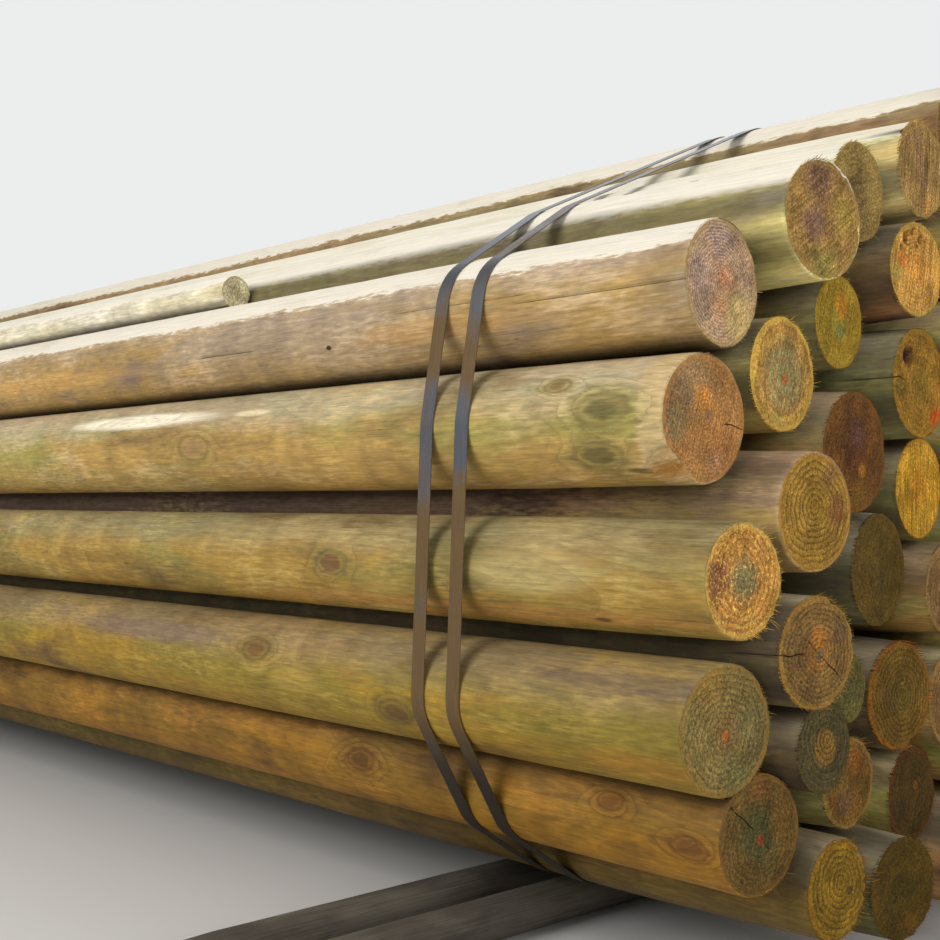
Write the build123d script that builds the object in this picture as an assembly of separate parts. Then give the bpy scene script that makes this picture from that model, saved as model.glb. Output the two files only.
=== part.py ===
from build123d import *
import copy
import math
import os

os.makedirs("parts", exist_ok=True)

# Strapped stack of peeled, treated pine logs lying on round bearers.
# Millimetres. X runs along the logs with the near ends at plus X,
# Y runs from the open front face to the back, Z is up.

# Logs, each given by how far it runs over or under the nominal diameter
log_diameter = 112.0
log_length = 3000.0
end_play = 6.0
far_swing = 2.0
worn_rim = 2.5
taper_length = 230.0

# Thin loose pole that lies on top of the front valley
pole_diameter = 50.0
pole_length = 2150.0

# Clearances that keep pieces seated without cutting into each other
log_clearance = 0.3
strap_clearance = 0.3
bearer_clearance = 0.2
seal_clearance = 0.2

# Steel straps and their crimped seals
strap_width = 19.0
strap_thickness = 0.8
strap_set_back = 287.0
strap_pitch = 53.0
strap_lap = 90.0
seal_length = 38.0
seal_wall = 1.0
seal_lip = 6.0
crimp_depth = 2.5
crimp_pitch = 14.0

# Round bearers under the stack
bearer_diameter = 50.0
bearer_set_back = 376.0
bearer_pitch = 98.0
bearer_overhang = 190.0
bearer_arris = 2.0

# Gap that the valley log leaves in the bottom layer
wedge_gap = 61.0

# Torn chip on the lower edge of one sawn end
chip_width = 52.0
chip_depth = 9.0
chip_length = 34.0
chip_bearing = 232.0


class Log:
    """One laid log: its section in the stack, and how its near end was sawn and tapers."""

    def __init__(self, y, z, radius, offset, swing, worn, drawn):
        self.y = y
        self.z = z
        self.radius = radius
        self.offset = offset
        self.swing = swing
        self.worn = worn
        self.drawn = drawn


logs = {}


def tightest(y, z, radius):
    """Name the laid log nearest to a new one, with the air between the two."""
    gaps = {name: math.hypot(y - log.y, z - log.z) - radius - log.radius for name, log in logs.items()}
    nearest = min(gaps, key=gaps.get)
    return gaps[nearest], nearest


def seat(left, right, radius):
    """Centre of a log that rests on two others, on the upper side going left to right."""
    a = logs[left]
    b = logs[right]
    reach_a = a.radius + radius + log_clearance
    reach_b = b.radius + radius + log_clearance
    span = math.hypot(b.y - a.y, b.z - a.z)
    along = (reach_a ** 2 - reach_b ** 2 + span ** 2) / (2 * span)
    rise = math.sqrt(max(reach_a ** 2 - along ** 2, 0.0))
    dir_y = (b.y - a.y) / span
    dir_z = (b.z - a.z) / span
    y = a.y + along * dir_y - rise * dir_z
    z = a.z + along * dir_z + rise * dir_y
    return y, z


def seat_clear(y, z, radius, left, right):
    """Move a log that meets a third one up on to that one instead."""
    for _ in range(4):
        gap, blocker = tightest(y, z, radius)
        if gap > log_clearance / 2:
            break
        pairs = [(left, blocker), (blocker, right)]
        pairs = [pair for pair in pairs if pair[0] != pair[1]]
        left, right = max(pairs, key=lambda pair: tightest(*seat(*pair, radius), radius)[0])
        y, z = seat(left, right, radius)
    return y, z


def lay_on_bearers(name, over, left=None, gap=0.0, offset=0.0, swing=0.0, worn=0.0, drawn=0.0):
    """Lay a log straight on the bearers, after the one to its left."""
    radius = (log_diameter + over) / 2
    y = 0.0
    if left:
        before = logs[left]
        reach = before.radius + radius + max(gap, log_clearance)
        y = before.y + math.sqrt(reach ** 2 - (radius - before.radius) ** 2)
    logs[name] = Log(y, radius, radius, offset, swing, worn, drawn)


def lay_beside(name, over, neighbour, bearing, offset=0.0, swing=0.0, worn=0.0, drawn=0.0):
    """Hold a log against one neighbour, at a bearing counted up from plus Y."""
    radius = (log_diameter + over) / 2
    held = logs[neighbour]
    reach = held.radius + radius + log_clearance
    y = held.y + reach * math.cos(math.radians(bearing))
    z = held.z + reach * math.sin(math.radians(bearing))
    y, z = seat_clear(y, z, radius, neighbour, neighbour)
    logs[name] = Log(y, z, radius, offset, swing, worn, drawn)


def lay_in_valley(name, over, left, right, offset=0.0, swing=0.0, worn=0.0, drawn=0.0):
    """Drop a log into the valley between two logs, left and right of it."""
    radius = (log_diameter + over) / 2
    y, z = seat(left, right, radius)
    y, z = seat_clear(y, z, radius, left, right)
    logs[name] = Log(y, z, radius, offset, swing, worn, drawn)


# Bottom layer and the rounded lower front corner
lay_on_bearers("log_01", 1, offset=22, swing=-6, drawn=10)
lay_beside("log_02", -6, "log_01", 170, offset=18, swing=-2, drawn=10)
lay_in_valley("log_03", -3, "log_02", "log_01", offset=-13, drawn=16)
lay_on_bearers("log_04", 0, "log_01", gap=wedge_gap, offset=-6, swing=3)
lay_in_valley("log_05", 3, "log_01", "log_04", offset=-19, swing=2, drawn=14)
lay_in_valley("log_06", 6, "log_03", "log_05", offset=-6, swing=-3, drawn=4)
lay_in_valley("log_07", -32, "log_03", "log_06", offset=-6, drawn=8)
lay_beside("log_08", -1, "log_02", 146, offset=-4, swing=-4)
lay_in_valley("log_09", -24, "log_08", "log_07", offset=16)

# Front face, from the bottom up, with the column behind it
lay_beside("log_10", 5, "log_08", 119, offset=1, swing=-5)
lay_in_valley("log_11", -7, "log_10", "log_09", offset=31, swing=-6)
lay_beside("log_12", -3, "log_11", 142, offset=14, swing=-3, drawn=5)
lay_in_valley("log_13", -16, "log_11", "log_07", offset=-140)
lay_in_valley("log_14", 14, "log_12", "log_13", offset=18, swing=-2, drawn=15)
lay_in_valley("log_15", 20, "log_13", "log_06", offset=-30, swing=5, drawn=13)
lay_beside("log_16", 12, "log_14", 138.5, offset=-35, worn=worn_rim, drawn=5)

# Third column, up to the crown
lay_in_valley("log_17", 8, "log_06", "log_05", offset=-11, drawn=10)
lay_in_valley("log_18", 1, "log_15", "log_17", offset=-20, swing=3, drawn=11)
lay_in_valley("log_19", -1, "log_15", "log_18", offset=-35, swing=4)
lay_in_valley("log_20", 27, "log_14", "log_15", offset=-16, swing=2, drawn=17)
lay_in_valley("log_21", 0, "log_14", "log_20", offset=-28, swing=2)
lay_in_valley("log_22", 11, "log_20", "log_19", offset=-8, swing=3, drawn=6)
lay_in_valley("log_23", 5, "log_21", "log_20", offset=-31, swing=4, drawn=20)
lay_in_valley("log_24", -5, "log_23", "log_22", offset=-1, swing=-2, drawn=7)
lay_in_valley("log_25", 10, "log_16", "log_21", offset=-30, swing=4, drawn=4)
lay_in_valley("log_26", 10, "log_25", "log_23", offset=7, swing=-4, drawn=8)
lay_in_valley("log_27", -10, "log_26", "log_24", offset=-20, swing=2)
lay_in_valley("log_28", -2, "log_27", "log_24", offset=-8, swing=3, drawn=5)


# Back of the stack, layer by layer, resting on the columns before it
lay_on_bearers("back_1a", 0, "log_04", offset=12)
lay_on_bearers("back_1b", -2, "back_1a", offset=-9, swing=3)
lay_beside("back_1c", 2, "back_1b", 27, offset=5, swing=-2)
lay_in_valley("back_2a", 0, "log_17", "back_1a", offset=-16)
lay_in_valley("back_2b", -4, "back_2a", "back_1b", offset=3, swing=-4)
lay_in_valley("back_2c", 4, "back_2b", "back_1c", offset=-11)
lay_in_valley("back_2d", 0, "back_2c", "back_1c", offset=8, swing=4)
lay_in_valley("back_3a", -2, "log_17", "back_2a", offset=2)
lay_in_valley("back_3b", 6, "back_3a", "back_2b", offset=-21, swing=-3)
lay_in_valley("back_3c", -3, "back_3b", "back_2c", offset=14)
lay_in_valley("back_3d", 3, "back_3c", "back_2d", offset=-5, swing=2)
lay_in_valley("back_4a", 1, "log_18", "back_3a", offset=-13, swing=3)
lay_in_valley("back_4b", -5, "back_4a", "back_3b", offset=6)
lay_in_valley("back_4c", 5, "back_4b", "back_3c", offset=-2, swing=-3)
lay_in_valley("back_4d", -1, "back_4c", "back_3d", offset=17)
lay_in_valley("back_5a", 2, "log_19", "back_4a", offset=9, swing=-2)
lay_in_valley("back_5b", 0, "back_5a", "back_4b", offset=-18)
lay_in_valley("back_5c", -6, "back_5b", "back_4c", offset=4, swing=4)
lay_in_valley("back_5d", 4, "back_5c", "back_4d", offset=-8)
lay_in_valley("back_6a", -3, "log_22", "back_5a", offset=-4)
lay_in_valley("back_6b", 3, "back_6a", "back_5b", offset=11, swing=-3)
lay_in_valley("back_6c", 1, "back_6b", "back_5c", offset=-14, swing=2)
lay_in_valley("back_6d", -2, "back_6c", "back_5d", offset=7)
lay_in_valley("back_7a", 0, "log_28", "back_6a", offset=-10, swing=3)
lay_in_valley("back_7b", -4, "back_7a", "back_6b", offset=15)
lay_in_valley("back_7c", 2, "back_7b", "back_6c", offset=-3, swing=-2)
lay_in_valley("back_8a", 9, "log_28", "back_7a", offset=-17)
lay_in_valley("back_8b", 0, "back_8a", "back_7b", offset=5, swing=2)

# Thin loose pole in the valley of the two top front logs
pole_y, pole_z = seat("log_25", "log_26", pole_diameter / 2)
pole_y, pole_z = seat_clear(pole_y, pole_z, pole_diameter / 2, "log_25", "log_26")


def saw_plane(x, y, z, swing):
    """Plane of a saw cut across a log, swung out of square about the upright."""
    normal = (math.cos(math.radians(swing)), math.sin(math.radians(swing)), 0)
    return Plane(origin=(x, y, z), z_dir=normal)


def sawn_round(y, z, radius, far_x, near_x, far_turn, near_turn, worn, drawn):
    """A round log between two saw cuts, tapered near one end; a square near end may have its rim worn off."""
    spare = 0 if worn else radius
    shoulder_x = near_x - taper_length
    tip_length = taper_length + spare
    axis = Plane(origin=(far_x - radius, y, z), z_dir=(1, 0, 0))
    if drawn:
        tip_radius = radius - drawn / 2 * tip_length / taper_length
        shoulder = Plane(origin=(shoulder_x, y, z), z_dir=(1, 0, 0))
        body = Solid.make_cylinder(radius, shoulder_x - far_x + radius, axis)
        body = body + Solid.make_cone(radius, tip_radius, tip_length, shoulder)
    else:
        body = Solid.make_cylinder(radius, shoulder_x - far_x + radius + tip_length, axis)
    if worn:
        body = chamfer(body.edges().filter_by(GeomType.CIRCLE).sort_by(Axis.X)[-1], worn)
    else:
        body = split(body, bisect_by=saw_plane(near_x, y, z, near_turn), keep=Keep.BOTTOM)
    return split(body, bisect_by=saw_plane(far_x, y, z, far_turn), keep=Keep.TOP)


half_length = log_length / 2
rounds = {}
for number, (name, log) in enumerate(logs.items()):
    play = end_play * (number % 5 - 2)
    turn = far_swing * (number % 3 - 1)
    near_x = half_length + log.offset
    far_x = play - half_length
    rounds[name] = sawn_round(log.y, log.z, log.radius, far_x, near_x, turn, log.swing, log.worn, log.drawn)

rounds["loose_pole"] = sawn_round(
    pole_y, pole_z, pole_diameter / 2, -half_length, pole_length - half_length, 0, far_swing, 0, 0
)

# Chip torn off the lower rim of one near end
torn = logs["log_16"]
torn_x = half_length + torn.offset
rim_y = torn.y + torn.radius * math.cos(math.radians(chip_bearing))
rim_z = torn.z + torn.radius * math.sin(math.radians(chip_bearing))
rim = Plane(origin=(torn_x, rim_y, rim_z), x_dir=(1, 0, 0), z_dir=(0, rim_y - torn.y, rim_z - torn.z))
slope = math.degrees(math.atan2(chip_depth, chip_length))
splinter = Box(4 * chip_length, chip_width, 2 * chip_depth, align=(Align.CENTER, Align.CENTER, Align.MIN))
splinter = rim * Pos(-chip_length, 0, 0) * Rot(0, slope, 0) * splinter
rounds["log_16"] = rounds["log_16"] - splinter


def rounds_inside(with_pole):
    """Sections that a strap goes around, as centre and radius."""
    sections = [(log.y, log.z, log.radius) for log in logs.values()]
    if with_pole:
        sections.append((pole_y, pole_z, pole_diameter / 2))
    return sections


def touch_point(section, grow, normal):
    """Point of a section's grown rim that looks along a normal angle."""
    y, z, radius = section
    reach = radius + grow
    return Vector(y + reach * math.cos(math.radians(normal)), z + reach * math.sin(math.radians(normal)))


def taut_walk(sections):
    """Sections that a taut strap meets, each with the normal of the free run after it."""
    start = min(sections, key=lambda section: (section[1] - section[2], section[0]))
    here = start
    normal = -90.0
    walk = []
    while normal < 270:
        turns = []
        for there in sections:
            if there is here:
                continue
            span = math.hypot(there[0] - here[0], there[1] - here[1])
            bearing = math.degrees(math.atan2(there[1] - here[1], there[0] - here[0]))
            lean = math.degrees(math.acos((here[2] - there[2]) / span))
            turns.append((round((bearing - lean - normal + 0.01) % 360, 3), -span, there))
        turn, _, there = min(turns, key=lambda item: item[:2])
        normal = normal + turn - 0.01
        if normal >= 270:
            break
        walk.append((here, normal))
        here = there
    return walk


def taut_face(walk, grow):
    """Face within a taut line held off the logs by a given amount."""
    edges = []
    for (section, normal), (after, after_normal) in zip(walk, walk[1:] + walk[:1]):
        edges.append(Edge.make_line(touch_point(section, grow, normal), touch_point(after, grow, normal)))
        rim = Plane((after[0], after[1], 0))
        edges.append(Edge.make_circle(after[2] + grow, rim, normal, after_normal))
    return Face(Wire(edges))


def lap_frame(walk):
    """Frame on the longest free run of the back slope, where the strap was drawn tight."""
    frames = []
    for (section, normal), (after, _) in zip(walk, walk[1:] + walk[:1]):
        outward = Vector(math.cos(math.radians(normal)), math.sin(math.radians(normal)))
        run = touch_point(after, 0, normal) - touch_point(section, 0, normal)
        if outward.X > 0.3 and outward.Y > 0.3:
            middle = touch_point(section, 0, normal) + run / 2
            frames.append((run.length, Plane(middle, x_dir=run, z_dir=run.cross(outward))))
    return max(frames, key=lambda item: item[0])[1]


def crimp_notches(frame, half_width):
    """Notches bitten through seal and strap from both sides."""
    notches = []
    for along in (-crimp_pitch / 2, crimp_pitch / 2):
        for side in (-1, 1):
            spot = Pos(along, 0, side * half_width) * Rot(90, 0, 0)
            notches.append(frame * spot * Cylinder(crimp_depth, seal_length))
    return notches


def strap_and_seal(walk, x):
    """One steel strap drawn tight at x, with its lapped end and its crimped seal."""
    inside = strap_clearance
    outside = strap_clearance + strap_thickness
    band = Sketch() + taut_face(walk, outside) - taut_face(walk, inside)
    band = extrude(band, amount=strap_width / 2, both=True)
    frame = lap_frame(walk)
    lap = Box(strap_lap, strap_thickness, strap_width, align=(Align.CENTER, Align.MIN, Align.CENTER))
    band = band + frame * Pos(0, outside, 0) * lap

    slot_height = 2 * strap_thickness + 2 * seal_clearance
    slot_width = strap_width + 2 * seal_clearance
    middle = strap_clearance + strap_thickness
    sleeve = Box(seal_length, slot_height + 2 * seal_wall, slot_width + 2 * seal_wall)
    sleeve = sleeve - Box(2 * seal_length, slot_height, slot_width)
    mouth = Box(2 * seal_length, slot_height, slot_width - 2 * seal_lip)
    sleeve = sleeve - Pos(0, -slot_height / 2 - seal_wall, 0) * mouth
    sleeve = frame * Pos(0, middle, 0) * sleeve
    for notch in crimp_notches(frame, slot_width / 2 + seal_wall):
        band = band - notch
        sleeve = sleeve - notch
    stand = Plane(origin=(x, 0, 0), x_dir=(0, 1, 0), z_dir=(1, 0, 0))
    return stand * band, stand * sleeve


near_walk = taut_walk(rounds_inside(False))
far_walk = taut_walk(rounds_inside(True))
outer_strap_x = half_length - strap_set_back
inner_strap_x = outer_strap_x - strap_pitch
fittings = {}
for place, walk, x in (
    ("near_outer", near_walk, outer_strap_x),
    ("near_inner", near_walk, inner_strap_x),
    ("far_inner", far_walk, -inner_strap_x),
    ("far_outer", far_walk, -outer_strap_x),
):
    fittings["strap_" + place], fittings["seal_" + place] = strap_and_seal(walk, x)


# Round bearers, two under each end
front_y = min(log.y - log.radius for log in logs.values()) - bearer_overhang
back_y = max(log.y + log.radius for log in logs.values()) + bearer_overhang
outer_bearer_x = half_length - bearer_set_back
inner_bearer_x = outer_bearer_x - bearer_pitch


def round_bearer(x):
    """A thin round pole laid across under the stack."""
    axis = Plane(origin=(x, front_y, -bearer_clearance - bearer_diameter / 2), x_dir=(0, 0, 1), z_dir=(0, 1, 0))
    body = Solid.make_cylinder(bearer_diameter / 2, back_y - front_y, axis)
    return chamfer(body.edges().filter_by(GeomType.CIRCLE), bearer_arris)


for place, x in (
    ("near_outer", outer_bearer_x),
    ("near_inner", inner_bearer_x),
    ("far_inner", -inner_bearer_x),
    ("far_outer", -outer_bearer_x),
):
    fittings["bearer_" + place] = round_bearer(x)


# Each log of the front columns is a part of its own, the ones behind share a part per layer
parts = dict(fittings)
layers = {}
for name, body in rounds.items():
    if name.startswith("back_"):
        layers.setdefault(name[:-1], []).append(body)
    else:
        parts[name] = body
for name, bodies in layers.items():
    parts[name] = Compound(children=bodies)

# The whole stack stands centred over the origin, its bearers on the floor
extent = Compound(children=[copy.copy(body) for body in parts.values()]).bounding_box()
home = Pos(-extent.center().X, -extent.center().Y, -extent.min.Z)
for name, body in parts.items():
    export_step(home * body, "parts/" + name + ".step")
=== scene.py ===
import math
import random
from functools import partial

import bpy
import numpy as np
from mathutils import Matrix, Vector


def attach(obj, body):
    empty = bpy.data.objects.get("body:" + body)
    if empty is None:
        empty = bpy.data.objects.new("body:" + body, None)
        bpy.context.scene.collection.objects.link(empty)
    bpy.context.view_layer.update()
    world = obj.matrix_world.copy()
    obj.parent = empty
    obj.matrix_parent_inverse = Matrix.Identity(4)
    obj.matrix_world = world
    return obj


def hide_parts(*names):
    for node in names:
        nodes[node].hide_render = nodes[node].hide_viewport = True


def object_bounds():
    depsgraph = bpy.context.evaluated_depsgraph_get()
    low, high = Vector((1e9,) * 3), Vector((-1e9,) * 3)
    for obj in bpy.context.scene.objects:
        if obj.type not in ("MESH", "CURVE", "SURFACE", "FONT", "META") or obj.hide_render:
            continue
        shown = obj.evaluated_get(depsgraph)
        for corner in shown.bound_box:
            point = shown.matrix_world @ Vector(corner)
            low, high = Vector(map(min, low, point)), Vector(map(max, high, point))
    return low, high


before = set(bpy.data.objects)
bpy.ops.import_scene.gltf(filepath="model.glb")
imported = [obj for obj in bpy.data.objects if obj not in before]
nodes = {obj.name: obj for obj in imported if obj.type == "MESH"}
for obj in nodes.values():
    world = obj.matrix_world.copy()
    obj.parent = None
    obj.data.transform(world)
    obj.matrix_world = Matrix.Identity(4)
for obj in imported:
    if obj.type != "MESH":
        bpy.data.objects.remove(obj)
cad_low, cad_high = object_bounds()

MM = 0.001
WOOD_IOR = 1.45


def paint(code):
    """An sRGB hex colour as linear red, green, blue and a full alpha."""
    channels = [int(code[i : i + 2], 16) / 255 for i in (1, 3, 5)]
    return tuple(c / 12.92 if c <= 0.04045 else ((c + 0.055) / 1.055) ** 2.4 for c in channels) + (1.0,)


def add_node(tree, kind, settings=None, **inputs):
    """Adds one node. An input goes by its name with _ for a space, or by its place as i0, i1 and so on,
    and takes a value, a node or a socket."""
    node = tree.nodes.new("ShaderNode" + kind)
    for key, value in (settings or {}).items():
        setattr(node, key, value)
    for key, value in inputs.items():
        place = int(key[1:]) if key[0] == "i" and key[1:].isdigit() else key.replace("_", " ")
        socket = node.inputs[place]
        if isinstance(value, bpy.types.Node):
            value = next(o for o in value.outputs if o.enabled)
        if isinstance(value, bpy.types.NodeSocket):
            tree.links.new(value, socket)
        else:
            socket.default_value = value
    return node


def new_finish(name):
    """An empty material, what adds a node to it, and the place of each point that it colours."""
    finish = bpy.data.materials.new(name)
    finish.use_nodes = True
    finish.node_tree.nodes.clear()
    add = partial(add_node, finish.node_tree)
    return finish, add, add("TexCoord").outputs["Object"]


SMOOTH = {"interpolation_type": "SMOOTHSTEP"}
COLOUR = {"data_type": "RGBA"}
DARKEN = {"data_type": "RGBA", "blend_type": "MULTIPLY"}
TIMES = {"operation": "MULTIPLY"}
TIMES_PLUS = {"operation": "MULTIPLY_ADD"}
PLUS = {"operation": "ADD"}
LESS = {"operation": "SUBTRACT"}
POWER = {"operation": "POWER"}
LARGER = {"operation": "MAXIMUM"}
UNSIGNED = {"operation": "ABSOLUTE"}
FRACTION = {"operation": "FRACT"}
LENGTH = {"operation": "LENGTH"}
DISTANCE = {"operation": "DISTANCE"}


def own_values(add, title):
    """The three values that a piece's points carry under a title."""
    kept = add("Attribute", {"attribute_name": title}).outputs["Vector"]
    return tuple(add("SeparateXYZ", Vector=kept).outputs)


def grown_pattern(add, place, stretch, scale, detail, roughness=0.5, shift=(0, 0, 0)):
    """An uneven pattern, drawn out along each axis whose stretch is below 1."""
    drawn_out = add("Mapping", Vector=place, Scale=stretch, Location=shift)
    return add("TexNoise", Vector=drawn_out, Scale=scale, Detail=detail, Roughness=roughness)


def reach_from(add, place, spot, spread):
    """How far the wood lies from a spot, weighed along each axis by the spread."""
    offset = add("VectorMath", LESS, i0=place, i1=spot)
    weighed = add("VectorMath", TIMES, i0=offset, i1=spread)
    return add("VectorMath", LENGTH, i0=weighed).outputs["Value"]


def open_checks(add, skin, inside):
    """Makes the open drying checks dark inside."""
    check = own_values(add, "section")[2]
    crack = add("MapRange", Value=check, From_Min=0.3, From_Max=0.85)
    return add("Mix", COLOUR, i0=crack, i6=skin, i7=paint(inside))


def finished(finish, add, **surface):
    """Ends a finish with its surface."""
    add("OutputMaterial", Surface=add("BsdfPrincipled", **surface))
    return finish


def on_side(found, behind, bearing):
    """The point on a log's side, so many mm behind its near end, at a bearing counted up from plus Y."""
    centre, radius, _, (near, _) = found
    turn = math.radians(bearing)
    return near[0] - behind * MM, centre[0] + radius * math.cos(turn), centre[1] + radius * math.sin(turn)


def peeled_side(
    name, tones, found=None, knots=(), stains=(), grain=0.3, cream_band=0.0, sun=1.0, upper="#a79a7f", **_
):
    """Peeled, machine rounded pine, pressure treated: dry, matt and fibrous, tinted green and gold,
    with painted shade near its neighbours, and painted sunlight in cream where it lies open to the sky."""
    pale, gold, green, stain = (paint(tone) for tone in tones.split())
    finish, add, place = new_finish(name)
    contact_shade, open_sky, back = own_values(add, "weather")
    # fibre streaks about 1.6 mm wide and 60 mm long: real ones are finer, drawn coarse enough to show
    fibre = grown_pattern(add, place, (0.027, 1, 1), 620, 4, 0.65)
    # short scuffs and lifted fibres, 4 mm by 20 mm
    scuff = grown_pattern(add, place, (0.2, 1, 1), 240, 3, 0.6, shift=(1, 4, 2))
    # tint soaked in patches 150 to 400 mm long, and stains 60 to 200 mm long
    patch = grown_pattern(add, place, (0.4, 1.6, 1.6), 7, 4, 0.6)
    soak = grown_pattern(add, place, (0.28, 1, 1), 17, 5, 0.62, shift=(3, 1, 2))
    # growth rings that the lathe cut open, 8 to 30 mm apart at the skin, drawn in round each knot
    swell = grown_pattern(add, place, (0.2, 1, 1), 9, 2, 0.4, shift=(0, 5, 1))
    field = add("Math", TIMES, i0=swell, i1=13.0)
    ringed = []
    knotty = 0.0
    for behind, bearing, size, core_tone, halo_tone in knots:
        spread = (0.5 / size / MM, 1 / size / MM, 1 / size / MM)
        reach = reach_from(add, place, on_side(found, behind, bearing), spread)
        for blur, weight in ((soak, 1.5), (scuff, 0.5)):
            reach = add("Math", TIMES_PLUS, i0=blur, i1=weight, i2=reach)
        reach = add("Math", LESS, i0=reach, i1=0.9)
        pull = add("MapRange", SMOOTH, Value=reach, From_Min=0.8, From_Max=3.4, To_Min=2.2, To_Max=0)
        field = add("Math", PLUS, i0=field, i1=pull)
        close = add("MapRange", SMOOTH, Value=reach, From_Min=1.8, From_Max=3.2, To_Min=0.5, To_Max=0)
        knotty = add("Math", LARGER, i0=knotty, i1=close)
        ringed.append((reach, paint(core_tone), paint(halo_tone)))
    late = add("Math", POWER, i0=add("Math", FRACTION, i0=field), i1=3.0)
    strength = add("Math", PLUS, i0=knotty, i1=0.95 * grain)
    broken = add("MapRange", Value=fibre, From_Min=0.3, From_Max=0.6)
    for share in (strength, broken):
        late = add("Math", TIMES, i0=late, i1=share)
    mood = add("MapRange", SMOOTH, Value=patch, From_Min=0.43, From_Max=0.57)
    # the upper flank turns to the upper tone, and the lower flank gets a painted golden reflection in its
    # gold tone
    lie = add("Math", TIMES_PLUS, i0=soak, i1=1.1, i2=own_values(add, "lie")[1])
    greyed = add("MapRange", SMOOTH, Value=lie, From_Min=0.5, From_Max=1.3, To_Max=0.62)
    painted_glow_below = add("MapRange", SMOOTH, Value=lie, From_Min=0.45, From_Max=-0.2, To_Max=0.7)
    # dry skin where the peeler tore it, pale with ragged edges
    torn = add("Math", TIMES_PLUS, i0=scuff, i1=0.35, i2=soak)
    dry = add("MapRange", Value=torn, From_Min=0.71, From_Max=0.86, To_Max=0.6)
    skin = add("Mix", COLOUR, i0=mood, i6=gold, i7=green)
    for cover, tone in ((greyed, paint(upper)), (painted_glow_below, gold), (dry, pale)):
        skin = add("Mix", COLOUR, i0=cover, i6=skin, i7=tone)
    # shallow scallops that the peeler left, 40 to 70 mm apart, with painted shade in their hollows and
    # painted light on their crests
    scallop = grown_pattern(add, place, (1, 0.3, 0.3), 19, 3, shift=(4, 2, 6))
    hollow = add("MapRange", Value=scallop, From_Min=0.38, From_Max=0.62, To_Min=0.87, To_Max=1.1)
    skin = add("Mix", DARKEN, i0=1.0, i6=skin, i7=hollow)
    soaked = add("MapRange", Value=soak, From_Min=0.45, From_Max=0.30, To_Max=0.85)
    skin = add("Mix", COLOUR, i0=soaked, i6=skin, i7=stain)
    # the saw left the skin pale and frayed just behind the end
    if cream_band:
        fray = back
        for blur, weight in ((scuff, -20), (soak, -60)):
            fray = add("Math", TIMES_PLUS, i0=blur, i1=weight * MM, i2=fray)
        near, far = (cream_band - 43) * MM, (cream_band - 36) * MM
        edge = add("MapRange", SMOOTH, Value=fray, From_Min=near, From_Max=far, To_Min=0.8, To_Max=0)
        skin = add("Mix", COLOUR, i0=edge, i6=skin, i7=paint("#d2b682"))
    lasting = []
    for behind, bearing, length, width, tone, strength in stains:
        spread = (1 / length / MM, 1 / width / MM, 1 / width / MM)
        reach = reach_from(add, place, on_side(found, behind, bearing), spread)
        reach = add("Math", TIMES_PLUS, i0=scuff, i1=0.8, i2=reach)
        inside = add("MapRange", SMOOTH, Value=reach, From_Min=1, From_Max=1.6, To_Min=strength, To_Max=0)
        skin = add("Mix", COLOUR, i0=inside, i6=skin, i7=paint(tone))
        # a stain of full strength also shows over the painted sunlight on the top
        if strength == 1.0:
            lasting.append((inside, paint(tone)))
    for reach, core_tone, halo_tone in ringed:
        halo = add("MapRange", SMOOTH, Value=reach, From_Min=1.3, From_Max=2.4, To_Min=0.6, To_Max=0)
        core = add("MapRange", SMOOTH, Value=reach, From_Min=0.7, From_Max=1.2, To_Min=0.7, To_Max=0)
        ring = add("Math", UNSIGNED, i0=add("Math", LESS, i0=reach, i1=1.3))
        collar = add("MapRange", SMOOTH, Value=ring, From_Min=0.02, From_Max=0.3, To_Min=0.55, To_Max=0)
        for cover, tone in ((halo, halo_tone), (core, core_tone), (collar, stain)):
            skin = add("Mix", COLOUR, i0=cover, i6=skin, i7=tone)
    # thin drying lines 100 to 300 mm long, in some places only
    line = grown_pattern(add, place, (0.012, 1, 1), 130, 2, shift=(5, 2, 7))
    line = add("Math", UNSIGNED, i0=add("Math", LESS, i0=line, i1=0.47))
    line = add("MapRange", Value=line, From_Min=0, From_Max=0.007, To_Min=0.62, To_Max=0)
    some = add("MapRange", Value=soak, From_Min=0.50, From_Max=0.40)
    drying = add("Math", TIMES, i0=line, i1=some)
    for cover, tone in ((late, stain), (drying, paint("#3d2e1c"))):
        skin = add("Mix", COLOUR, i0=cover, i6=skin, i7=tone)
    streak = add("MapRange", Value=fibre, From_Min=0.28, From_Max=0.72, To_Min=0.76, To_Max=1.2)
    rub = add("MapRange", Value=scuff, From_Min=0.3, From_Max=0.7, To_Min=0.80, To_Max=1.18)
    for shade in (streak, rub):
        skin = add("Mix", DARKEN, i0=1.0, i6=skin, i7=shade)
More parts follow.
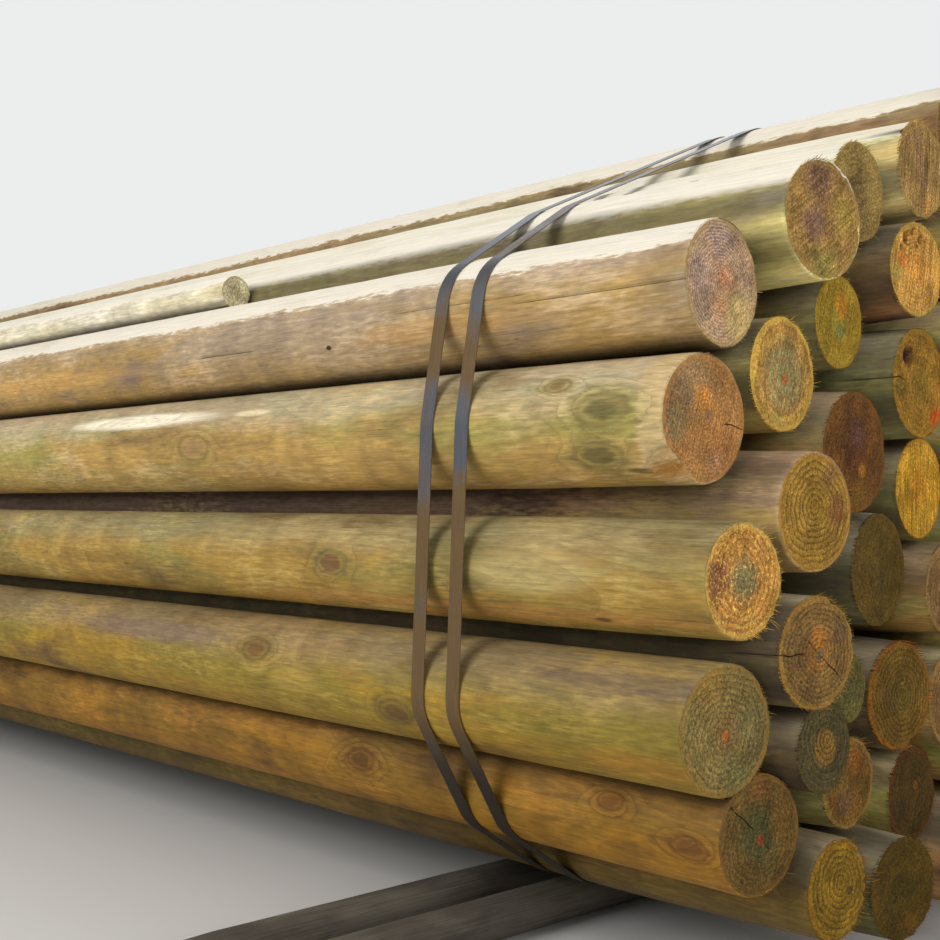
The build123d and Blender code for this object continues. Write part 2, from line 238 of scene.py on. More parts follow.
    # painted sunlight: the top turns cream, with a ragged pale fringe along its lower edge
    sun_reach = open_sky
    for blur, weight in ((scuff, 0.6), (soak, 0.7)):
        sun_reach = add("Math", TIMES_PLUS, i0=blur, i1=weight, i2=sun_reach)
    sunned = add("MapRange", SMOOTH, Value=sun_reach, From_Min=1.17, From_Max=1.27, To_Max=0.9 * sun)
    sunlit_fringe = add("MapRange", SMOOTH, Value=sun_reach, From_Min=1.05, From_Max=1.17, To_Max=0.6 * sun)
    cream = add("Mix", COLOUR, i0=soaked, i6=paint("#f4ecda"), i7=paint("#e4d9bd"))
    combed = add("MapRange", Value=fibre, From_Min=0.3, From_Max=0.6, To_Min=0.82, To_Max=1.02)
    cream = add("Mix", DARKEN, i0=1.0, i6=cream, i7=combed)
    cream = add("Mix", COLOUR, i0=drying, i6=cream, i7=paint("#a58d62"))
    for cover, tone in ((sunlit_fringe, pale), (sunned, cream), *lasting):
        skin = add("Mix", COLOUR, i0=cover, i6=skin, i7=tone)
    # painted shade: the wood turns dark brown where it lies close to a neighbour, made uneven by the soak
    # pattern
    painted_shade = add("Math", TIMES_PLUS, i0=soak, i1=0.5, i2=contact_shade)
    painted_shade = add("MapRange", SMOOTH, Value=painted_shade, From_Min=0.3, From_Max=1.15, To_Max=0.76)
    skin = add("Mix", COLOUR, i0=painted_shade, i6=skin, i7=paint("#2f2616"))
    skin = open_checks(add, skin, "#241b11")
    height = fibre
    for relief, depth in ((scuff, 0.6), (scallop, 7.0)):
        height = add("Math", TIMES_PLUS, i0=relief, i1=depth, i2=height)
    bump = add("Bump", Strength=0.45, Distance=0.8 * MM, Height=height)
    rough = add("MapRange", Value=soak, From_Min=0.3, From_Max=0.7, To_Min=0.6, To_Max=0.82)
    return finished(
        finish, add, Base_Color=skin, Roughness=rough, Normal=bump, IOR=WOOD_IOR, Specular_IOR_Level=0.3
    )


def sawn_end(
    name, tones, centre=(0, 0), saw=20, lines=0.55, heart_reach=0.35, mottle=0.4, rim_tone="#a98a4c",
    blots=(), scoring=0.16, **_,
):
    """Cross-cut pine end: torn dull pores, latewood lines, saw scratches, soaked tint and a fibrous rim."""
    sap, heart, latewood, fleck = (paint(tone) for tone in tones.split())
    finish, add, place = new_finish(name)
    ring, reach, _ = own_values(add, "section")
    # soaked tint, 15 to 40 mm, and its ragged edges
    cloud = add("TexNoise", Vector=place, Scale=36, Detail=5, Roughness=0.62)
    # torn pores and bright fibres left standing, 1 mm in real wood, drawn at 2 to 3 mm to show
    pore = add("TexNoise", Vector=place, Scale=430, Detail=3, Roughness=0.65)
    grit = grown_pattern(add, place, (1, 1, 1), 310, 3, 0.7, shift=(2, 7, 4))
    # the saw drags the ring lines about, a third of a ring
    drag = add("TexNoise", Vector=place, Scale=120, Detail=4, Roughness=0.65)
    ring = add("Math", TIMES_PLUS, i0=drag, i1=0.8, i2=ring)
    late = add("Math", POWER, i0=add("Math", FRACTION, i0=ring), i1=1.8)
    wander = add("Math", TIMES_PLUS, i0=cloud, i1=0.3, i2=reach)
    near, far = heart_reach + 0.08, heart_reach + 0.24
    core = add("MapRange", SMOOTH, Value=wander, From_Min=near, From_Max=far, To_Min=1, To_Max=0)
    face = add("Mix", COLOUR, i0=core, i6=sap, i7=heart)
    flat = add("VectorMath", TIMES, i0=place, i1=(0, 1, 1))
    for across, up, size, tone, strength in blots:
        spot = (0, centre[0] + across * MM, centre[1] + up * MM)
        size = size * MM
        away = add("VectorMath", DISTANCE, i0=flat, i1=spot).outputs["Value"]
        away = add("Math", TIMES_PLUS, i0=cloud, i1=0.9 * size, i2=away)
        near, far = 0.8 * size, 1.7 * size
        inside = add("MapRange", SMOOTH, Value=away, From_Min=near, From_Max=far, To_Min=strength, To_Max=0)
        face = add("Mix", COLOUR, i0=inside, i6=face, i7=paint(tone))
    least, most = 0.6 * lines, 1.35 * lines
    line = add("MapRange", Value=grit, From_Min=0.36, From_Max=0.56, To_Min=least, To_Max=most)
    line = add("Math", TIMES, i0=late, i1=line)
    flecks = add("MapRange", Value=grit, From_Min=0.53, From_Max=0.66, To_Max=mottle)
    for cover, tone in ((line, latewood), (flecks, fleck)):
        face = add("Mix", COLOUR, i0=cover, i6=face, i7=tone)
    depth = add("MapRange", Value=pore, From_Min=0.36, From_Max=0.64, To_Min=0.56, To_Max=1.38)
    murk = add("MapRange", Value=cloud, From_Min=0.36, From_Max=0.64, To_Min=0.7, To_Max=1.25)
    # saw scratches about 2 mm apart
    turned = add("Mapping", Vector=place, Rotation=(math.radians(saw), 0, 0))
    scratch = grown_pattern(add, turned, (1, 1, 0.05), 470, 2)
    least, most = 1 - scoring, 1 + scoring
    scored = add("MapRange", Value=scratch, From_Min=0.35, From_Max=0.65, To_Min=least, To_Max=most)
    for shade in (depth, murk, scored):
        face = add("Mix", DARKEN, i0=1.0, i6=face, i7=shade)
    edge = add("Math", TIMES_PLUS, i0=grit, i1=0.4, i2=reach)
    rim = add("MapRange", Value=edge, From_Min=1.08, From_Max=1.22, To_Max=0.7)
    face = add("Mix", COLOUR, i0=rim, i6=face, i7=paint(rim_tone))
    face = open_checks(add, face, "#1f1710")
    height = add("Math", TIMES_PLUS, i0=late, i1=0.6, i2=pore)
    height = add("Math", PLUS, i0=height, i1=scratch)
    bump = add("Bump", Strength=0.7, Distance=1.1 * MM, Height=height)
    return finished(
        finish, add, Base_Color=face, Roughness=0.84, Normal=bump, IOR=WOOD_IOR, Specular_IOR_Level=0.2
    )


def weathered_pole():
    """Thin pine pole left out for years: silver grey darkened with painted shade, matt, with long dark
    drying lines.
    """
    finish, add, place = new_finish("grey_shaded_pine_pole")
    # drying lines 1.5 mm wide and 120 mm long, along the pole
    line = grown_pattern(add, place, (1, 0.013, 1), 640, 4, 0.7)
    cloud = grown_pattern(add, place, (1, 0.3, 1), 22, 4, 0.6)
    mood = add("MapRange", Value=cloud, From_Min=0.35, From_Max=0.65)
    # painted shade: the grey tones are darkened to stand in for the deep shade the bearers lie in
    skin = add("Mix", COLOUR, i0=mood, i6=paint("#4d463e"), i7=paint("#6e675b"))
    streak = add("MapRange", Value=line, From_Min=0.3, From_Max=0.7, To_Min=0.62, To_Max=1.2)
    skin = add("Mix", DARKEN, i0=1.0, i6=skin, i7=streak)
    skin = open_checks(add, skin, "#221d17")
    bump = add("Bump", Strength=0.5, Distance=0.7 * MM, Height=line)
    return finished(finish, add, Base_Color=skin, Roughness=0.85, Normal=bump, IOR=WOOD_IOR)


def blued_strapping():
    """Rolled and blued steel strapping: a thin dark oxide skin with a dull sheen, brown where it rusts,
    browner lower down with a painted reflection of the wood, and painted shade under the stack.
    """
    finish, add, place = new_finish("blued_steel_strapping")
    # roller marks 1 mm apart run with the strap, so they are the same all along X
    rolled = grown_pattern(add, place, (1, 0.03, 0.03), 900, 2)
    # rust bloom in soft patches 60 to 200 mm long, and specks of 3 mm
    bloom = add("TexNoise", Vector=place, Scale=9, Detail=3)
    specks = add("TexNoise", Vector=place, Scale=260, Detail=3, Roughness=0.7)
    rust = add("Math", TIMES_PLUS, i0=specks, i1=0.3, i2=bloom)
    # the lower half turns browner: partly rust, partly a painted golden reflection of the wood
    height = add("SeparateXYZ", Vector=place).outputs["Z"]
    low = add("MapRange", Value=height, From_Min=0.35, From_Max=0.85, To_Min=0.10, To_Max=-0.14)
    rust = add("Math", PLUS, i0=rust, i1=low)
    rust = add("MapRange", SMOOTH, Value=rust, From_Min=0.49, From_Max=0.73)
    # painted shade: the run under the stack is darkened nearly to black
    under_shade = add("MapRange", SMOOTH, Value=height, From_Min=0.27, From_Max=0.20, To_Max=0.85)
    skin = add("Mix", COLOUR, i0=rust, i6=paint("#666970"), i7=paint("#6b5432"))
    skin = add("Mix", COLOUR, i0=under_shade, i6=skin, i7=paint("#262321"))
    sheen = add("MapRange", Value=rolled, From_Min=0.3, From_Max=0.7, To_Min=0.82, To_Max=1.12)
    skin = add("Mix", DARKEN, i0=1.0, i6=skin, i7=sheen)
    metal = add("MapRange", Value=rust, To_Min=0.75, To_Max=0.45)
    rough = add("MapRange", Value=rust, To_Min=0.42, To_Max=0.6)
    bump = add("Bump", Strength=0.25, Distance=0.2 * MM, Height=rolled)
    return finished(finish, add, Base_Color=skin, Metallic=metal, Roughness=rough, Normal=bump)


def crimped_seal():
    """Zinc coated steel seal, pressed on cold: dull grey, bright where the crimping jaws rubbed it."""
    finish, add, place = new_finish("zinc_crimped_seal")
    # zinc blooms 3 to 6 mm across, and rub marks 0.8 mm apart
    bloom = add("TexNoise", Vector=place, Scale=220, Detail=3, Roughness=0.6)
    rub = grown_pattern(add, place, (0.08, 1, 1), 1200, 2)
    mood = add("MapRange", Value=bloom, From_Min=0.35, From_Max=0.65)
    skin = add("Mix", COLOUR, i0=mood, i6=paint("#6d6f72"), i7=paint("#8f9193"))
    rough = add("MapRange", Value=rub, From_Min=0.3, From_Max=0.7, To_Min=0.34, To_Max=0.6)
    bump = add("Bump", Strength=0.3, Distance=0.2 * MM, Height=rub)
    return finished(finish, add, Base_Color=skin, Metallic=0.9, Roughness=rough, Normal=bump)


def choose(piece, kind, wanted):
    """Goes to edit mode with only those faces or edges selected that wanted() says yes to."""
    bpy.ops.object.mode_set(mode="OBJECT")
    mesh = piece.data
    for group in (mesh.vertices, mesh.edges, mesh.polygons):
        group.foreach_set("select", [False] * len(group))
    group = getattr(mesh, kind)
    group.foreach_set("select", [bool(wanted(part)) for part in group])
    bpy.context.tool_settings.mesh_select_mode = (False, kind == "edges", kind == "polygons")
    bpy.ops.object.mode_set(mode="EDIT")


def runs_along(piece, edge):
    """Whether an edge runs from end to end along X."""
    start, stop = (piece.data.vertices[spot].co.x for spot in edge.vertices)
    return abs(start - stop) > 0.5


def model_round(name, columns, rows, near_rings, far_rings):
    """A round of unit radius and length along X, with rows cut into its side and rings into its ends."""
    bpy.ops.mesh.primitive_cylinder_add(vertices=columns, radius=1, depth=1, rotation=(0, math.pi / 2, 0))
    piece = bpy.context.object
    piece.name = name
    bpy.ops.object.transform_apply(location=True, rotation=True, scale=True)
    choose(piece, "edges", lambda edge: runs_along(piece, edge))
    bpy.ops.mesh.subdivide(number_cuts=rows - 1)
    for end, rings in ((1, near_rings), (-1, far_rings)):
        choose(piece, "polygons", lambda face: face.normal.x * end > 0.9)
        for _ in range(rings - 1):
            bpy.ops.mesh.inset(thickness=0.998 / rings)
        bpy.ops.mesh.poke()
    bpy.ops.object.mode_set(mode="OBJECT")
    for face in piece.data.polygons:
        face.material_index = 1 if abs(face.normal.x) > 0.9 else 0
        face.use_smooth = face.material_index == 0
    return piece


FIBRES = 140
FIBRE_WIDTH = 0.01


def model_fringe():
    """A ring of torn fibres: one tapered sliver with a knee, spun round the axis in copies."""
    bpy.ops.mesh.primitive_cone_add(
        vertices=3, radius1=FIBRE_WIDTH, radius2=FIBRE_WIDTH / 6, depth=1,
        location=(0, 1, 0), rotation=(0, math.pi / 2, 0),
    )
    piece = bpy.context.object
    piece.name = "fibre_ring"
    bpy.ops.object.transform_apply(location=True, rotation=True, scale=True)
    choose(piece, "edges", lambda edge: runs_along(piece, edge))
    bpy.ops.mesh.subdivide(number_cuts=1)
    bpy.ops.mesh.select_all(action="SELECT")
    turn = math.tau * (FIBRES - 1) / FIBRES
    bpy.ops.mesh.spin(steps=FIBRES - 1, dupli=True, angle=turn, center=(0, 0, 0), axis=(1, 0, 0))
    bpy.ops.object.mode_set(mode="OBJECT")
    for face in piece.data.polygons:
        face.material_index = 1
    return piece


# how far a slanted saw cut may lie behind the log's tip, and the length of the near end's taper
CUT_REACH = 13 * MM
TAPER = 230 * MM
# rows of points on a log in full view crowd towards its near end by this power
CROWDED = 1.7
# wood this near to a neighbour gets painted shade, and only rounds above this height get painted sunlight
SHADE_REACH = 19 * MM
SUNLIT_HEIGHT = 0.57


def measure(spots):
    """Centre, radius, near tip's radius and saw cuts of a round, each cut by its middle and its slant."""
    low, high = spots.min(0), spots.max(0)
    centre = (low + high)[1:] / 2
    radius = (high - low)[2] / 2
    cuts = []
    for end, tip in ((1, high[0]), (-1, low[0])):
        rim = spots[np.abs(spots[:, 0] - tip) < CUT_REACH]
        slant = np.polyfit(rim[:, 1] - centre[0], rim[:, 0], 1)[0]
        flat = rim[:, 0] - slant * (rim[:, 1] - centre[0])
        cuts.append((end * (end * flat).max(), slant))
        if end == 1:
            tip_radius = np.hypot(*(rim[:, 1:] - centre).T).max()
    return centre, radius, tip_radius, cuts


def copy_of(source):
    """A copy of an object, with its own mesh."""
    piece = source.copy()
    piece.data = source.data.copy()
    bpy.context.scene.collection.objects.link(piece)
    return piece


def rounds_of(node, crosswise=False):
    """Measures each round of a node, from a merged copy that is split into its loose parts."""
    copy = copy_of(nodes[node])
    bpy.ops.object.select_all(action="DESELECT")
    copy.select_set(True)
    bpy.context.view_layer.objects.active = copy
    bpy.ops.object.mode_set(mode="EDIT")
    bpy.ops.mesh.select_all(action="SELECT")
    bpy.ops.mesh.remove_doubles(threshold=0.00001)
    bpy.ops.mesh.separate(type="LOOSE")
    bpy.ops.object.mode_set(mode="OBJECT")
    found = []
    for part in list(bpy.context.selected_objects):
        spots = np.array([v.co for v in part.data.vertices])
        if crosswise:
            spots = np.stack([spots[:, 1], -spots[:, 0], spots[:, 2]], 1)
        found.append(measure(spots))
        bpy.data.objects.remove(part)
    return sorted(found, key=lambda one: one[0][0])


def ripple(rng, across, along, waves):
    """A smooth uneven value between -1 and 1, that closes round the log."""
    total = 0.0
    share = 0.0
    for count, length, weight in waves:
        start = rng.uniform(0, math.tau)
        total = total + weight * np.sin(count * across + along * math.tau / length + start)
        share += weight
    return total / share


def painted_light_of(y, z, own):
    """Painted shade at each point near its neighbours, and how open it lies to the sky, for painted
    sunlight.
    """
    middle, own_radius = own[:2]
    contact_shade = np.zeros(len(y))
    high = np.clip((middle[1] - SUNLIT_HEIGHT) / 0.08, 0, 1)
    open_sky = high * np.clip(((z - middle[1]) / own_radius - 0.22) / 0.5, 0, 1)
    for centre, radius, _, _ in all_rounds:
        if centre is middle:
            continue
        away = np.hypot(y - centre[0], z - centre[1]) - radius
        contact_shade = np.maximum(contact_shade, np.clip(1 - away / SHADE_REACH, 0, 1))
        above = centre[1] > z
        covered = np.clip((radius + 6 * MM - np.abs(y - centre[0])) / (12 * MM), 0, 1)
        open_sky = open_sky * (1 - above * covered)
    return contact_shade, open_sky


def move_points(piece, x, y, z):
    """Moves each point of a piece to its own new place."""
    piece.data.vertices.foreach_set("co", np.stack([x, y, z], 1).astype(np.float32).ravel())
    piece.data.update()


def keep_values(piece, title, values):
    """Keeps three values on each point of a piece, for its finish to read."""
    kept = piece.data.attributes.new(title, "FLOAT_VECTOR", "POINT")
    kept.data.foreach_set("vector", np.stack(values, 1).astype(np.float32).ravel())


def lay_round(name, found, seed, look, crosswise=False):
    """A copy of a pattern, laid where the CAD has its round, with its own skin, rings and checks."""
    rng = random.Random(seed)
    centre, radius, tip_radius, (near, far) = found
    columns = look["columns"]
    piece = copy_of(patterns[columns])
    piece.name = name
    spots = np.array([v.co for v in piece.data.vertices])
    share = np.clip(spots[:, 0] + 0.5, 0, 1)
    reach = np.minimum(np.hypot(spots[:, 1], spots[:, 2]), 1.0)
    bearing = np.arctan2(spots[:, 2], spots[:, 1])
    column = np.round(bearing / math.tau * columns).astype(int) % columns
    capped = np.abs(share - 0.5) > 0.4999
    is_near = share > 0.5
    length = near[0] - far[0]
    back = length * (1 - share) ** (CROWDED if columns == SEEN else 1)
    to_end = np.minimum(back, length - back)

    # the skin: hollows from the lathe, the taper to the near end, and a worn rim, ragged for 9 mm
    ragged = look.get("ragged", 0.9)
    worn = look.get("worn", 1.3) * MM
    teeth = np.array([rng.random() ** 2 for _ in range(columns)])
    teeth = (teeth + 0.5 * np.roll(teeth, 1) + 0.5 * np.roll(teeth, -1)) / 2
    tooth = teeth[column] * (1 + 0.6 * ripple(rng, bearing, 0, [(2, 1, 1), (3, 1, 1), (7, 1, 1)]))
    deep = look.get("hollow", 0.9) * MM
    waves = [(2, 3.1, 1.2), (3, 1.7, 0.8), (1, 0.9, 0.8), (4, 0.63, 0.4), (6, 0.31, 0.25)]
    skin = ripple(rng, bearing, back, waves)
    dents = ripple(rng, bearing, back, [(9, 0.21, 1), (13, -0.16, 1), (7, 0.11, 0.8)])
    radial = radius - (radius - tip_radius) * np.clip(1 - back / TAPER, 0, 1)
    radial = radial - deep * (1 + skin) / 2 - 0.25 * MM * (1 + dents)
    bevel = np.clip(1 - to_end / worn, 0, 1)
    fringe = np.clip(1 - to_end / (9 * MM), 0, 1) ** 2
    rim_radius = radial - worn * bevel - ragged * 1.6 * MM * tooth * fringe
    radial = np.where(capped, reach * rim_radius, rim_radius)

    # growth rings about a pith that sits off centre
    pith_y, pith_z = (value * MM for value in look.get("pith", (rng.uniform(-7, 7), rng.uniform(-7, 7))))
    across = radial * np.cos(bearing) - pith_y
    up = radial * np.sin(bearing) - pith_z
    from_pith = np.hypot(across, up)
    swirl = np.arctan2(up, across)
    waves = [(2, 1, 1), (3, 1, 0.8), (5, 1, 0.5), (11, 1, 0.2)]
    uneven = 1 + look.get("wavy", 0.06) * ripple(rng, swirl, 0, waves)
    ring = look.get("rings", 12) * (from_pith * uneven / radius) ** 0.9
    saw_turn = math.radians(look.get("saw", 20))
    saw_across = radial * np.cos(bearing - saw_turn) / MM
    # the blade's marks lie 6.3 mm and 17 mm apart
    saw = np.sin(saw_across * math.tau / 6.3 + rng.uniform(0, 6))
    saw = saw + 0.6 * np.sin(saw_across * math.tau / 17 + 1)
    inward = (0.35 * (ring % 1.0) ** 2 + 0.14 * (saw + 1.6)) * MM * look.get("relief", 1.0)
    inward = inward + 0.5 * MM * (1 + ripple(rng, bearing, 0, [(1, 1, 1), (2, 1, 1)])) * reach**2
    inward = inward + ragged * 1.5 * MM * tooth * np.clip((reach - 0.9) / 0.1, 0, 1)

    # checks: one column of points sinks, and its neighbours close in on it
    step = math.tau / columns
    check = np.zeros(len(spots))
    shift = np.zeros(len(spots))
    near_cap = capped & is_near
    checks = [(True, *one) for one in look.get("end_checks", ())]
    checks += [(False, *one) for one in look.get("side_checks", ())]
    for on_end, at, start, stop, width, depth in checks:
        middle = int(round(at / 360 * columns)) % columns
        if on_end:
            window = np.clip((reach - start) / 0.1, 0, 1) * near_cap
            if stop < 1:
                window = window * np.clip((stop - reach) / 0.1, 0, 1)
            wobble = 0.35 * step * np.sin(reach * 14 + at)
            close = np.minimum(width * MM / 2 / np.maximum(radial, 1e-4), step)
        else:
            window = np.clip((stop - back / MM) / 60, 0, 1)
            if start == 0:
                window = window * (~capped | (reach > 0.999)) * is_near
            else:
                window = window * np.clip((back / MM - start) / 30, 0, 1) * ~capped
            wobble = 0.3 * step * np.sin(back * 9 + at)
            close = width * MM / 2 / radius
        for side in (-1, 0, 1):
            held = (column == (middle + side) % columns) & (window > 0)
            shift = np.where(held, -side * (step - close) * window + wobble * window, shift)
        sunk = (column == middle) & (window > 0)
        check = np.where(sunk, window, check)
        if on_end:
            inward = np.where(sunk, inward + depth * MM * window, inward)
        else:
            radial = np.where(sunk, radial - depth * MM * window, radial)
    for pit_y, pit_z, size, depth in look.get("pits", ()):
        away = np.hypot(radial * np.cos(bearing) - pit_y * MM, radial * np.sin(bearing) - pit_z * MM)
        pit = np.clip(1.25 - away / (size * MM), 0, 1) * near_cap
        inward = inward + depth * MM * pit
        check = np.maximum(check, 0.8 * pit)

    turn = bearing + shift
    y = centre[0] + radial * np.cos(turn)
    z = centre[1] + radial * np.sin(turn)
    if "chip" in look:
        # a splinter torn off the lower rim, in a slope that runs out along the side
        at, wide, deep, long = look["chip"]
        out_y, out_z = math.cos(math.radians(at)), math.sin(math.radians(at))
        out = (y - centre[0]) * out_y + (z - centre[1]) * out_z
        over = np.abs((z - centre[1]) * out_y - (y - centre[0]) * out_z) < wide / 2 * MM
        slope = tip_radius - deep * MM * (1 - back / (long * MM)) + 0.5 * MM * np.sin(column * 1.7)
        cut = np.where(over & (back < long * MM), np.maximum(out - slope, 0), 0)
        y = y - cut * out_y
        z = z - cut * out_z
    near_face = near[0] + near[1] * (y - centre[0])
    far_face = far[0] + far[1] * (y - centre[0])
    x = far_face + (near_face - far_face) * (1 - back / length)
    x = np.where(capped, np.where(is_near, near_face - inward, far_face + inward), x)
    contact_shade, open_sky = painted_light_of(y, z, found)
    lie = ((y - centre[0]) / radius, (z - centre[1]) / radius, reach)
    if crosswise:
        x, y = -y, x
    move_points(piece, x, y, z)
    keep_values(piece, "section", (ring, reach, check))
    keep_values(piece, "weather", (contact_shade, open_sky, back))
    keep_values(piece, "lie", lie)
    return piece


def lay_fringe(pattern, found, seed, look):
    """A copy of the fibre ring on a round's near rim, each fibre with its own length, lean and curl."""
    rng = random.Random(seed)
    centre, radius, tip_radius, (near, _) = found
    piece = copy_of(pattern)
    spots = np.array([v.co for v in piece.data.vertices])
    bearing = np.arctan2(spots[:, 2], spots[:, 1])
    number = np.round(bearing / math.tau * FIBRES).astype(int) % FIBRES
    offset = (bearing - number * math.tau / FIBRES + math.pi) % math.tau - math.pi
    ragged = look.get("ragged", 0.9)
    waves = [(2, 1, 1), (3, 1, 1), (5, 1, 0.8), (9, 1, 0.5)]
    tufts = ripple(rng, np.arange(FIBRES) * math.tau / FIBRES, 0, waves)
    length = np.array([1.2 + 5.5 * rng.random() ** 3 for _ in range(FIBRES)])
    length = length * ragged * (1 + 0.8 * tufts) + 2.5
    wide = np.array([rng.uniform(0.35, 0.8) for _ in range(FIBRES)])
    lean = np.array([rng.uniform(-0.1, 0.7) for _ in range(FIBRES)])
    curl = np.array([rng.gauss(0, 0.22) for _ in range(FIBRES)])
    jitter = np.array([rng.uniform(-0.02, 0.02) for _ in range(FIBRES)])
    share = np.clip(spots[:, 0] + 0.5, 0, 1)
    reach = length[number] * MM * share
    grown = wide[number] * MM / FIBRE_WIDTH
    radial = tip_radius - 2.6 * MM + (np.hypot(spots[:, 1], spots[:, 2]) - 1) * grown
    radial = radial + reach * lean[number] * share
    turn = number * math.tau / FIBRES + jitter[number]
    turn = turn + (offset * grown + curl[number] * reach * share) / radius
    y = centre[0] + radial * np.cos(turn)
    z = np.minimum(centre[1] + radial * np.sin(turn), cad_high[2])
    x = near[0] + near[1] * (y - centre[0]) - 3.4 * MM + reach * np.cos(lean[number])
    x = np.minimum(x, cad_high[0])
    move_points(piece, x, y, z)
    keep_values(piece, "section", (number * 0.37, np.full(len(x), 1.0), np.zeros(len(x))))
    return piece


def give_finishes(piece, side, end):
    """Gives a laid round its skin and its sawn face."""
    for finish in (side, end):
        piece.data.materials.append(finish)


def join_to(first, others):
    """Joins pieces of one part into the first."""
    bpy.ops.object.select_all(action="DESELECT")
    for piece in [first, *others]:
        piece.select_set(True)
    bpy.context.view_layer.objects.active = first
    bpy.ops.object.join()


def place(piece, node, slot):
    """Sets a piece in the frame for its node."""
    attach(piece, "root")
    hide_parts(node)


# columns of points round a log: in full view, with its end in view, and out of view
SEEN = 144
INNER = 96
HIDDEN = 48
patterns = {
    SEEN: model_round("seen_round", SEEN, 88, 42, 12),
    INNER: model_round("inner_round", INNER, 34, 34, 10),
    HIDDEN: model_round("hidden_round", HIDDEN, 24, 14, 12),
}
fibre_ring = model_fringe()
# tones of a side: dry wood, gold tint, green tint, dark stain
plain_sides = [
    "#b9a161 #9f8747 #868040 #604d30",
    "#b2915a #a1793e #8e8045 #5d452d",
    "#c4af70 #a89351 #8b8d4d #6a5a37",
    "#ac8c55 #957040 #847340 #553b2d",
]
# tones of a sawn end: sapwood, heart, latewood lines, bright fibres
plain_ends = [
    "#8c763b #817040 #53472b #b9914e",
    "#91673b #845f37 #553b2d #be8344",
    "#7d7138 #7c7340 #524a2d #a8934c",
    "#9c7e40 #8d6e3d #5f492f #ca9e52",
    "#755537 #704e3b #46332d #a87640",
]
